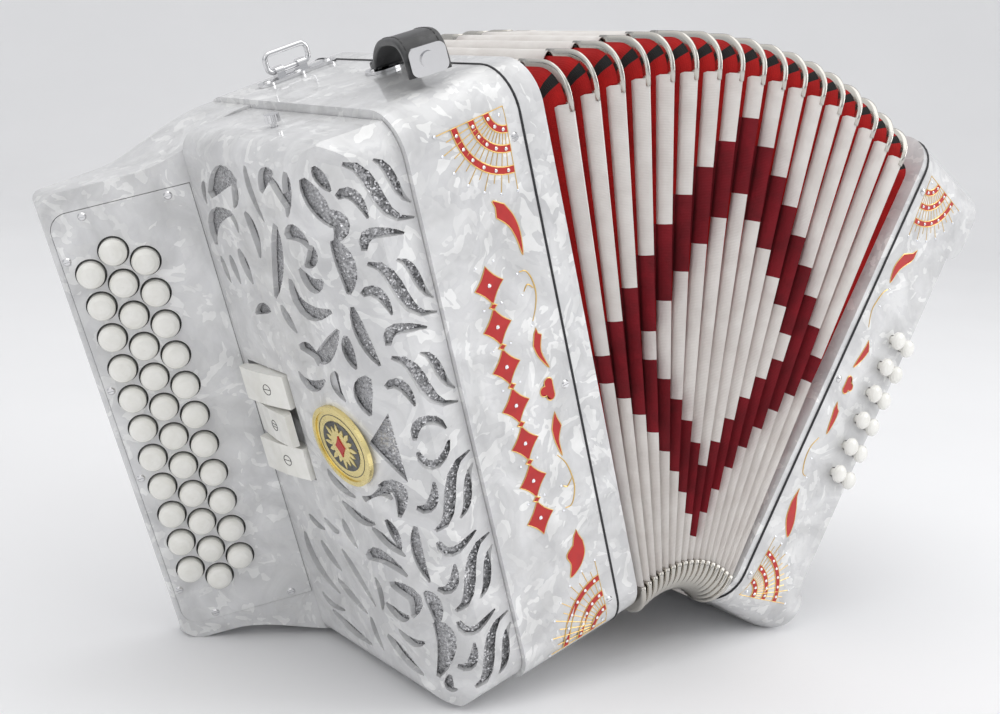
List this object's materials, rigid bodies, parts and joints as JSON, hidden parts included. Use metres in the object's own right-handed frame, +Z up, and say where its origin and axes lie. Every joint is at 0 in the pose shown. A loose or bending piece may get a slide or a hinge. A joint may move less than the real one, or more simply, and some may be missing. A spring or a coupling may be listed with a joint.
{
  "type": "button accordion",
  "caption": "Three-row diatonic button accordion standing with its bellows fanned open, with pressing buttons, rocking register switches and folds that open and close.",
  "frame": {"origin": "on the floor under the middle of the box around the standing instrument", "axes": "+X from the treble side to the bass side along the bellows, -Y is the front that faces the audience, +Z up"},
  "size_m": [0.5444, 0.1965, 0.3486],
  "materials": {
    "pearl_case": "polished pearl-white celluloid with a soft mother-of-pearl cloud",
    "pearl_plate": "polished pearl-white celluloid",
    "pearl_grille": "polished pearl-white celluloid with pierced scrollwork",
    "glitter_cloth": "silver-grey metallic weave",
    "badge_brass": "polished brass with a dark enamelled field",
    "button_white": "polished white domes",
    "switch_white": "satin white rockers",
    "reed_wood": "plain sanded pale wood",
    "gasket_black": "soft black gasket",
    "frame_pearl": "pearl-white wrap",
    "chrome_trim": "bright chrome plate",
    "strap_leather": "black grained leather",
    "lining_red": "bright red bellows cloth",
    "fold_card": "folded card with white cloth tape on its edge",
    "cover_grey": "satin grey"
  },
  "bodies": {
    "treble": {"treble_case": "pearl_case", "fingerboard_plate": "pearl_plate", "grille_cover": "pearl_grille", "grille_cloth": "glitter_cloth", "badge": "badge_brass", "treble_soundboard": "reed_wood", "treble_reeds": "reed_wood", "treble_gasket": "gasket_black", "treble_frame": "frame_pearl", "treble_screws": "chrome_trim", "thumbscrew": "chrome_trim", "bracket_plate": "chrome_trim", "strap_plate": "chrome_trim", "strap_leather": "strap_leather", "strap_snap": "chrome_trim", "lining": "lining_red"},
    "bass": {"bass_frame": "frame_pearl", "bass_gasket": "gasket_black", "bass_case": "pearl_case", "bass_cover": "cover_grey", "bass_soundboard": "reed_wood", "bass_reeds": "reed_wood", "bass_strap": "strap_leather"},
    "bail": {"bail": "chrome_trim"},
    "air_button": {"air_button": "button_white"},
    "row_outer": {"buttons_outer": "button_white"},
    "row_middle": {"buttons_middle": "button_white"},
    "row_inner": {"buttons_inner": "button_white"},
    "switch_1": {"switch_1": "switch_white"},
    "switch_2": {"switch_2": "switch_white"},
    "switch_3": {"switch_3": "switch_white"},
    "fold_01": {"fold_01": "fold_card"},
    "fold_02": {"fold_02": "fold_card"},
    "fold_03": {"fold_03": "fold_card"},
    "fold_04": {"fold_04": "fold_card"},
    "fold_05": {"fold_05": "fold_card"},
    "fold_06": {"fold_06": "fold_card"},
    "fold_07": {"fold_07": "fold_card"},
    "fold_08": {"fold_08": "fold_card"},
    "fold_09": {"fold_09": "fold_card"},
    "fold_10": {"fold_10": "fold_card"},
    "fold_11": {"fold_11": "fold_card"},
    "fold_12": {"fold_12": "fold_card"},
    "fold_13": {"fold_13": "fold_card"},
    "fold_14": {"fold_14": "fold_card"},
    "fold_15": {"fold_15": "fold_card"},
    "fold_16": {"fold_16": "fold_card"},
    "fold_17": {"fold_17": "fold_card"},
    "bass_a1": {"bass_a1": "button_white"},
    "bass_a2": {"bass_a2": "button_white"},
    "bass_a3": {"bass_a3": "button_white"},
    "bass_a4": {"bass_a4": "button_white"},
    "bass_a5": {"bass_a5": "button_white"},
    "bass_a6": {"bass_a6": "button_white"},
    "bass_b1": {"bass_b1": "button_white"},
    "bass_b2": {"bass_b2": "button_white"},
    "bass_b3": {"bass_b3": "button_white"},
    "bass_b4": {"bass_b4": "button_white"},
    "bass_b5": {"bass_b5": "button_white"},
    "bass_b6": {"bass_b6": "button_white"}
  },
  "joints": [
    {"name": "bellows", "type": "hinge", "parent": "treble", "child": "bass", "pos_m": [0.03321, 0.00345, 0.04163], "axis": [0, 1, 0], "range_deg": [-48.2, 12], "deforming": ["lining"]},
    {"name": "fold_01_turn", "type": "hinge", "parent": "treble", "child": "fold_01", "pos_m": [0.03321, 0.00345, 0.04163], "axis": [0, 1, 0], "range_deg": [-2.65, 0.66]},
    {"name": "fold_02_turn", "type": "hinge", "parent": "treble", "child": "fold_02", "pos_m": [0.03321, 0.00345, 0.04163], "axis": [0, 1, 0], "range_deg": [-5.3, 1.32]},
    {"name": "fold_03_turn", "type": "hinge", "parent": "treble", "child": "fold_03", "pos_m": [0.03321, 0.00345, 0.04163], "axis": [0, 1, 0], "range_deg": [-7.96, 1.98]},
    {"name": "fold_04_turn", "type": "hinge", "parent": "treble", "child": "fold_04", "pos_m": [0.03321, 0.00345, 0.04163], "axis": [0, 1, 0], "range_deg": [-10.61, 2.64]},
    {"name": "fold_05_turn", "type": "hinge", "parent": "treble", "child": "fold_05", "pos_m": [0.03321, 0.00345, 0.04163], "axis": [0, 1, 0], "range_deg": [-13.26, 3.3]},
    {"name": "fold_06_turn", "type": "hinge", "parent": "treble", "child": "fold_06", "pos_m": [0.03321, 0.00345, 0.04163], "axis": [0, 1, 0], "range_deg": [-15.91, 3.96]},
    {"name": "fold_07_turn", "type": "hinge", "parent": "treble", "child": "fold_07", "pos_m": [0.03321, 0.00345, 0.04163], "axis": [0, 1, 0], "range_deg": [-18.56, 4.62]},
    {"name": "fold_08_turn", "type": "hinge", "parent": "treble", "child": "fold_08", "pos_m": [0.03321, 0.00345, 0.04163], "axis": [0, 1, 0], "range_deg": [-21.21, 5.28]},
    {"name": "fold_09_turn", "type": "hinge", "parent": "treble", "child": "fold_09", "pos_m": [0.03321, 0.00345, 0.04163], "axis": [0, 1, 0], "range_deg": [-23.86, 5.94]},
    {"name": "fold_10_turn", "type": "hinge", "parent": "treble", "child": "fold_10", "pos_m": [0.03321, 0.00345, 0.04163], "axis": [0, 1, 0], "range_deg": [-26.51, 6.6]},
    {"name": "fold_11_turn", "type": "hinge", "parent": "treble", "child": "fold_11", "pos_m": [0.03321, 0.00345, 0.04163], "axis": [0, 1, 0], "range_deg": [-29.16, 7.26]},
    {"name": "fold_12_turn", "type": "hinge", "parent": "treble", "child": "fold_12", "pos_m": [0.03321, 0.00345, 0.04163], "axis": [0, 1, 0], "range_deg": [-31.81, 7.92]},
    {"name": "fold_13_turn", "type": "hinge", "parent": "treble", "child": "fold_13", "pos_m": [0.03321, 0.00345, 0.04163], "axis": [0, 1, 0], "range_deg": [-34.46, 8.58]},
    {"name": "fold_14_turn", "type": "hinge", "parent": "treble", "child": "fold_14", "pos_m": [0.03321, 0.00345, 0.04163], "axis": [0, 1, 0], "range_deg": [-37.12, 9.24]},
    {"name": "fold_15_turn", "type": "hinge", "parent": "treble", "child": "fold_15", "pos_m": [0.03321, 0.00345, 0.04163], "axis": [0, 1, 0], "range_deg": [-39.77, 9.9]},
    {"name": "fold_16_turn", "type": "hinge", "parent": "treble", "child": "fold_16", "pos_m": [0.03321, 0.00345, 0.04163], "axis": [0, 1, 0], "range_deg": [-42.42, 10.56]},
    {"name": "fold_17_turn", "type": "hinge", "parent": "treble", "child": "fold_17", "pos_m": [0.03321, 0.00345, 0.04163], "axis": [0, 1, 0], "range_deg": [-45.07, 11.22]},
    {"name": "bail", "type": "hinge", "parent": "treble", "child": "bail", "pos_m": [-0.14222, 0.06665, 0.3173], "axis": [0.9319, 0, 0.3628], "range_deg": [-80, 80]},
    {"name": "press_row_outer", "type": "slide", "parent": "treble", "child": "row_outer", "axis": [0.4388, 0.8854, 0.1534], "range_m": [0, 0.0035], "stiffness_N_per_m": 400, "springref_m": -0.0015},
    {"name": "press_row_middle", "type": "slide", "parent": "treble", "child": "row_middle", "axis": [0.4388, 0.8854, 0.1534], "range_m": [0, 0.0035], "stiffness_N_per_m": 400, "springref_m": -0.0015},
    {"name": "press_row_inner", "type": "slide", "parent": "treble", "child": "row_inner", "axis": [0.4388, 0.8854, 0.1534], "range_m": [0, 0.0035], "stiffness_N_per_m": 400, "springref_m": -0.0015},
    {"name": "switch_1_rock", "type": "hinge", "parent": "treble", "child": "switch_1", "pos_m": [-0.17183, 0.01895, 0.15692], "axis": [-0.33, 0, 0.944], "range_deg": [-12, 0]},
    {"name": "switch_2_rock", "type": "hinge", "parent": "treble", "child": "switch_2", "pos_m": [-0.16506, 0.01895, 0.13757], "axis": [-0.33, 0, 0.944], "range_deg": [0, 12]},
    {"name": "switch_3_rock", "type": "hinge", "parent": "treble", "child": "switch_3", "pos_m": [-0.1583, 0.01895, 0.11822], "axis": [-0.33, 0, 0.944], "range_deg": [-12, 0]},
    {"name": "press_bass_a1", "type": "slide", "parent": "bass", "child": "bass_a1", "axis": [0, 1, 0], "range_m": [0, 0.003], "stiffness_N_per_m": 200, "springref_m": -0.001},
    {"name": "press_bass_a2", "type": "slide", "parent": "bass", "child": "bass_a2", "axis": [0, 1, 0], "range_m": [0, 0.003], "stiffness_N_per_m": 200, "springref_m": -0.001},
    {"name": "press_bass_a3", "type": "slide", "parent": "bass", "child": "bass_a3", "axis": [0, 1, 0], "range_m": [0, 0.003], "stiffness_N_per_m": 200, "springref_m": -0.001},
    {"name": "press_bass_a4", "type": "slide", "parent": "bass", "child": "bass_a4", "axis": [0, 1, 0], "range_m": [0, 0.003], "stiffness_N_per_m": 200, "springref_m": -0.001},
    {"name": "press_bass_a5", "type": "slide", "parent": "bass", "child": "bass_a5", "axis": [0, 1, 0], "range_m": [0, 0.003], "stiffness_N_per_m": 200, "springref_m": -0.001},
    {"name": "press_bass_a6", "type": "slide", "parent": "bass", "child": "bass_a6", "axis": [0, 1, 0], "range_m": [0, 0.003], "stiffness_N_per_m": 200, "springref_m": -0.001},
    {"name": "press_bass_b1", "type": "slide", "parent": "bass", "child": "bass_b1", "axis": [0, 1, 0], "range_m": [0, 0.003], "stiffness_N_per_m": 200, "springref_m": -0.001},
    {"name": "press_bass_b2", "type": "slide", "parent": "bass", "child": "bass_b2", "axis": [0, 1, 0], "range_m": [0, 0.003], "stiffness_N_per_m": 200, "springref_m": -0.001},
    {"name": "press_bass_b3", "type": "slide", "parent": "bass", "child": "bass_b3", "axis": [0, 1, 0], "range_m": [0, 0.003], "stiffness_N_per_m": 200, "springref_m": -0.001},
    {"name": "press_bass_b4", "type": "slide", "parent": "bass", "child": "bass_b4", "axis": [0, 1, 0], "range_m": [0, 0.003], "stiffness_N_per_m": 200, "springref_m": -0.001},
    {"name": "press_bass_b5", "type": "slide", "parent": "bass", "child": "bass_b5", "axis": [0, 1, 0], "range_m": [0, 0.003], "stiffness_N_per_m": 200, "springref_m": -0.001},
    {"name": "press_bass_b6", "type": "slide", "parent": "bass", "child": "bass_b6", "axis": [0, 1, 0], "range_m": [0, 0.003], "stiffness_N_per_m": 200, "springref_m": -0.001},
    {"name": "press_air", "type": "slide", "parent": "bass", "child": "air_button", "axis": [-0.8752, 0, 0.4837], "range_m": [0, 0.003], "stiffness_N_per_m": 300, "springref_m": -0.001}
  ],
  "couplings": [
    {"joint": "fold_01_turn", "follows": "bellows", "ratio": 0.055},
    {"joint": "fold_02_turn", "follows": "bellows", "ratio": 0.11},
    {"joint": "fold_03_turn", "follows": "bellows", "ratio": 0.165},
    {"joint": "fold_04_turn", "follows": "bellows", "ratio": 0.22},
    {"joint": "fold_05_turn", "follows": "bellows", "ratio": 0.275},
    {"joint": "fold_06_turn", "follows": "bellows", "ratio": 0.33},
    {"joint": "fold_07_turn", "follows": "bellows", "ratio": 0.385},
    {"joint": "fold_08_turn", "follows": "bellows", "ratio": 0.44},
    {"joint": "fold_09_turn", "follows": "bellows", "ratio": 0.495},
    {"joint": "fold_10_turn", "follows": "bellows", "ratio": 0.55},
    {"joint": "fold_11_turn", "follows": "bellows", "ratio": 0.605},
    {"joint": "fold_12_turn", "follows": "bellows", "ratio": 0.66},
    {"joint": "fold_13_turn", "follows": "bellows", "ratio": 0.715},
    {"joint": "fold_14_turn", "follows": "bellows", "ratio": 0.77},
    {"joint": "fold_15_turn", "follows": "bellows", "ratio": 0.825},
    {"joint": "fold_16_turn", "follows": "bellows", "ratio": 0.88},
    {"joint": "fold_17_turn", "follows": "bellows", "ratio": 0.935}
  ]
}
